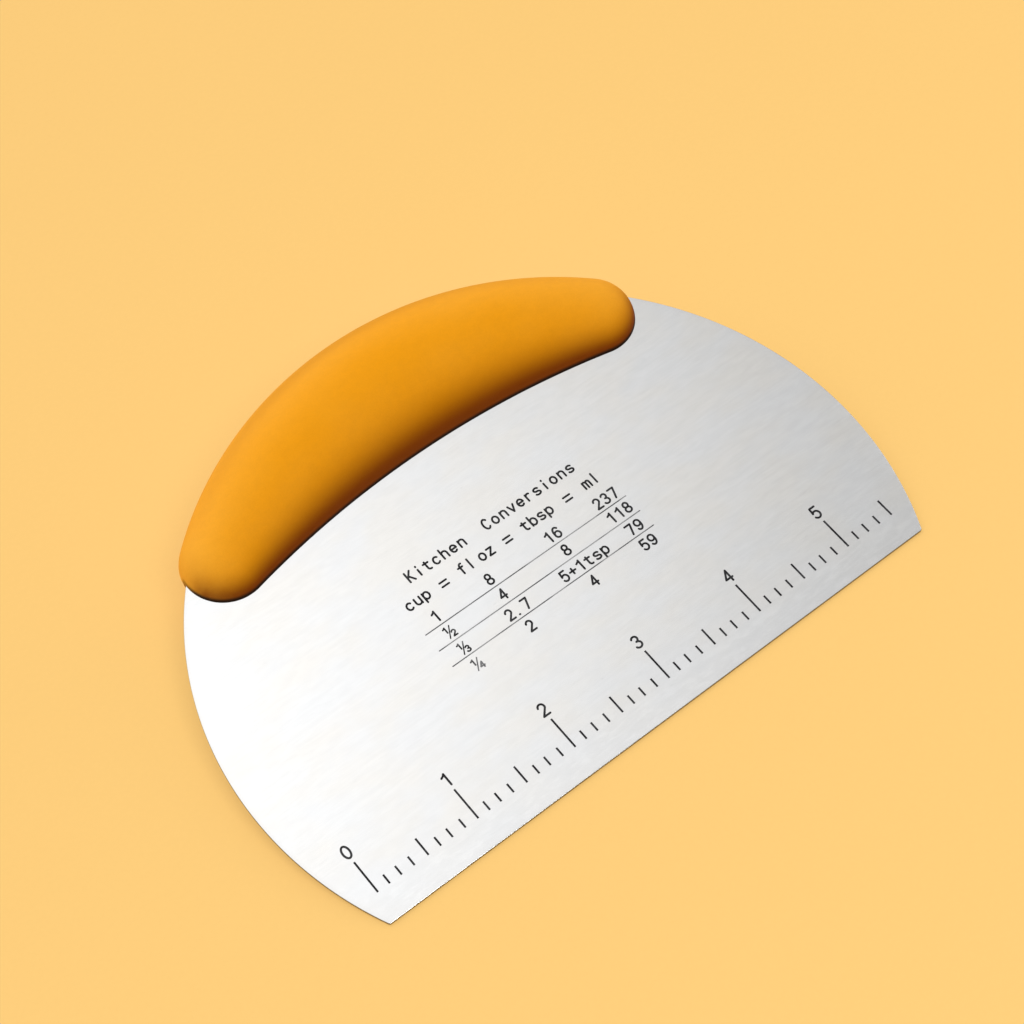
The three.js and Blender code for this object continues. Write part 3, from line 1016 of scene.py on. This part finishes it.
# The target is a place on the blade, the angles are in degrees over the blade, and the distance
# is in metres.
CAMERA_TARGET = Vector((5.3, 58.76, 0))
CAMERA_AZIMUTH = -39.06
CAMERA_ELEVATION = 60.14
CAMERA_DISTANCE = 0.5113
CAMERA_LENS = 82.51
CAMERA_ROLL = 0.66

# The studio's glow, by how far a direction leans along the blade's X and Y.
GLOW_PEAK = 1.53
GLOW_LEAN_X = -0.19
GLOW_SPREAD_X = 0.64
GLOW_LEAN_Y = 0.5
GLOW_SPREAD_Y = 0.55
GLOW_FRONT_DARK = -0.67
GLOW_FRONT_LIT = -0.2
ROOM_LIGHT = (0.15, 0.145, 0.14)
BACKDROP = (0.865, 0.553, 0.17)

# Softboxes, in metres. Each has its azimuth and elevation over the blade, and its radiance.
SOFTBOX_SIZE = 0.4
SOFTBOX_DISTANCE = 1.1
SOFTBOXES = {"front": (0, 66, 8.0), "right": (97, 30, 1.5)}


def blade_direction(azimuth, elevation):
    """Unit vector, in the CAD model's frame, towards a place given by angles over the blade."""
    a = math.radians(azimuth)
    e = math.radians(elevation)
    local = Vector((math.sin(a) * math.cos(e), -math.cos(a) * math.cos(e), math.sin(e)))
    return (BLADE_FRAME.to_3x3() @ local).normalized()


def add_camera():
    target = BLADE_FRAME @ CAMERA_TARGET
    back = blade_direction(CAMERA_AZIMUTH, CAMERA_ELEVATION)
    normal = blade_direction(0, 90)
    right = normal.cross(back).normalized()
    up = back.cross(right)
    turn = Matrix((right, up, back)).transposed().to_4x4()
    roll = Matrix.Rotation(math.radians(CAMERA_ROLL), 4, "Z")
    data = bpy.data.cameras.new("camera")
    data.lens = CAMERA_LENS
    data.clip_start = 0.01
    camera = bpy.data.objects.new("camera", data)
    camera.matrix_world = Matrix.Translation(target + back * CAMERA_DISTANCE) @ turn @ roll
    bpy.context.scene.collection.objects.link(camera)
    bpy.context.scene.camera = camera


def add_softbox(name, azimuth, elevation, radiance):
    """A square softbox, placed where the blade doesn't mirror it to the camera."""
    back = blade_direction(azimuth, elevation)
    data = bpy.data.lights.new(name, "AREA")
    data.size = SOFTBOX_SIZE
    data.energy = radiance * SOFTBOX_SIZE**2 * math.pi
    light = bpy.data.objects.new(name, data)
    light.location = BLADE_FRAME @ Vector((0, DISC_HEIGHT, 0)) + back * SOFTBOX_DISTANCE
    light.rotation_mode = "QUATERNION"
    light.rotation_quaternion = back.to_track_quat("Z", "Y")
    bpy.context.scene.collection.objects.link(light)


def add_floor():
    mesh = bmesh.new()
    bmesh.ops.create_grid(mesh, x_segments=8, y_segments=8, size=4)
    floor = link_mesh("floor", mesh)
    floor.location.z = cad_box[0].z
    floor.data.materials.append(floor_finish())


def add_studio_glow():
    """A world with one wide soft glow overhead, and a plain backdrop where the camera sees it."""
    world = bpy.data.worlds.new("studio")
    world.use_nodes = True
    nodes = world.node_tree.nodes
    links = world.node_tree.links

    def calculate(operation, first, second=0.0):
        node = nodes.new("ShaderNodeMath")
        node.operation = operation
        for socket, value in zip(node.inputs, (first, second)):
            if isinstance(value, float):
                socket.default_value = value
            else:
                links.new(value, socket)
        return node.outputs[0]

    def lean(axis):
        node = nodes.new("ShaderNodeVectorMath")
        node.operation = "DOT_PRODUCT"
        links.new(direction, node.inputs[0])
        node.inputs[1].default_value = (BLADE_FRAME.to_3x3() @ Vector(axis)).normalized()
        return node.outputs["Value"]

    def bell(value, middle, spread):
        away = calculate("SUBTRACT", value, middle)
        return calculate("MULTIPLY", calculate("MULTIPLY", away, away), -0.5 / spread**2)

    direction = nodes.new("ShaderNodeTexCoord").outputs["Generated"]
    lean_x = lean((1, 0, 0))
    lean_y = lean((0, 1, 0))
    bells = calculate(
        "ADD", bell(lean_x, GLOW_LEAN_X, GLOW_SPREAD_X), bell(lean_y, GLOW_LEAN_Y, GLOW_SPREAD_Y))
    front = nodes.new("ShaderNodeMapRange")
    front.interpolation_type = "SMOOTHSTEP"
    links.new(lean_y, front.inputs["Value"])
    front.inputs["From Min"].default_value = GLOW_FRONT_DARK
    front.inputs["From Max"].default_value = GLOW_FRONT_LIT
    front.inputs["To Max"].default_value = GLOW_PEAK
    glow = calculate("MULTIPLY", calculate("EXPONENT", bells), front.outputs[0])

    light = nodes.new("ShaderNodeVectorMath")
    light.operation = "ADD"
    links.new(glow, light.inputs[0])
    light.inputs[1].default_value = ROOM_LIGHT
    lit = nodes["Background"]
    links.new(light.outputs[0], lit.inputs["Color"])

    backdrop = nodes.new("ShaderNodeBackground")
    backdrop.inputs["Color"].default_value = (*BACKDROP, 1)
    choose = nodes.new("ShaderNodeMixShader")
    links.new(nodes.new("ShaderNodeLightPath").outputs["Is Camera Ray"], choose.inputs["Fac"])
    links.new(lit.outputs[0], choose.inputs[1])
    links.new(backdrop.outputs[0], choose.inputs[2])
    links.new(choose.outputs[0], nodes["World Output"].inputs["Surface"])
    bpy.context.scene.world = world


# ---- the scene ----


def dress_core_and_rivets():
    """Gives the CAD nodes that stay their finishes."""
    plastic = filled_plastic()
    for node in ("core_front", "core_back"):
        bpy.data.objects[node].material_slots[0].material = plastic
    for number, (x, y) in enumerate(fastener_places(RIVET_STEPS), start=1):
        steel = turned_steel(f"turned_steel_{number}", x, y)
        bpy.data.objects[f"rivet_{number}"].material_slots[0].material = steel


def hide_from_reflections():
    """Keeps the grip and what's inside it out of mirror images: the photo's blade shows none."""
    for piece in bpy.data.objects:
        if piece.name.startswith(("grip", "core", "rivet")):
            piece.visible_glossy = False


make_blade(satin_steel())
make_grip(soft_rubber())
print_ruler(screen_ink("ink", INK_BLACK, INK_WORN, 0.3))
print_table(
    screen_ink("ink_table", INK_BLACK, INK_WORN, 0.25),
    screen_ink("ink_rules", INK_WORN, INK_FADED, 0.9),
    screen_ink("ink_small", INK_BLACK, INK_FADED, 0.5),
)
dress_core_and_rivets()
hide_from_reflections()
add_floor()
add_studio_glow()
for name, (azimuth, elevation, radiance) in SOFTBOXES.items():
    add_softbox(name, azimuth, elevation, radiance)
add_camera()
bpy.context.scene.view_settings.view_transform = "Standard"
